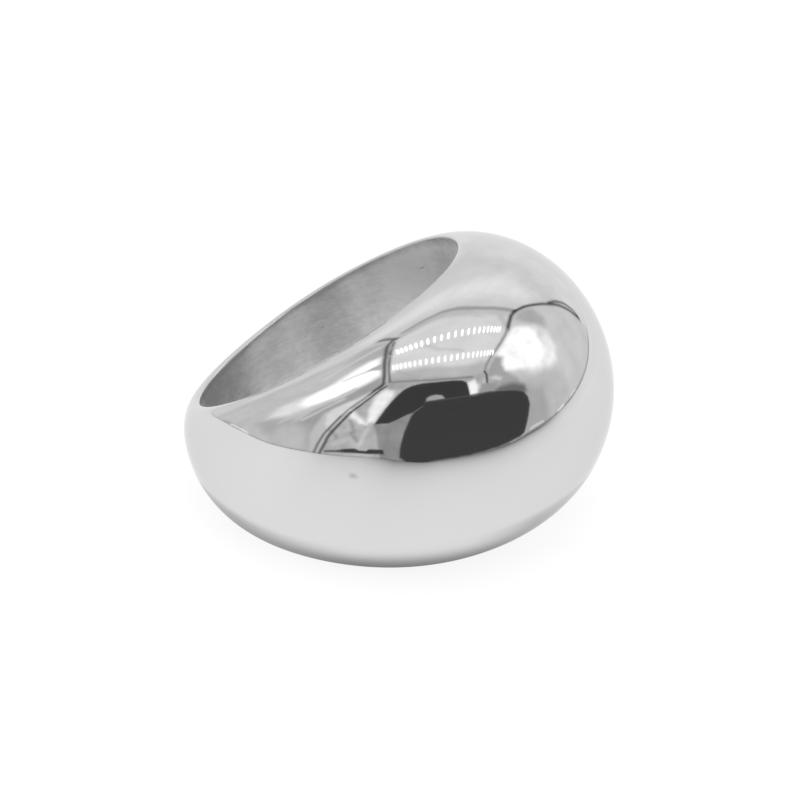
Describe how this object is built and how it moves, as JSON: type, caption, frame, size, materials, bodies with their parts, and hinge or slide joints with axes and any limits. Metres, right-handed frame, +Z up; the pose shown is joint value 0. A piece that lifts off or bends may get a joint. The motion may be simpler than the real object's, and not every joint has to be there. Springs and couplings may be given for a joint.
{
  "type": "dome ring",
  "caption": "Polished steel finger ring with a smooth rounded dome on top, tapering to a narrow plain band, lying on its side.",
  "frame": {"origin": "on the surface the ring lies on, under the middle of its overall box", "axes": "+Z up from that surface, +X towards the dome, Y across the ring, with the finger hole's axis leaning 15.9 degrees from +Z towards -X"},
  "size_m": [0.0262, 0.0232, 0.0164],
  "materials": {
    "steel": "polished"
  },
  "bodies": {
    "root": {"dome_ring": "steel"}
  },
  "joints": []
}
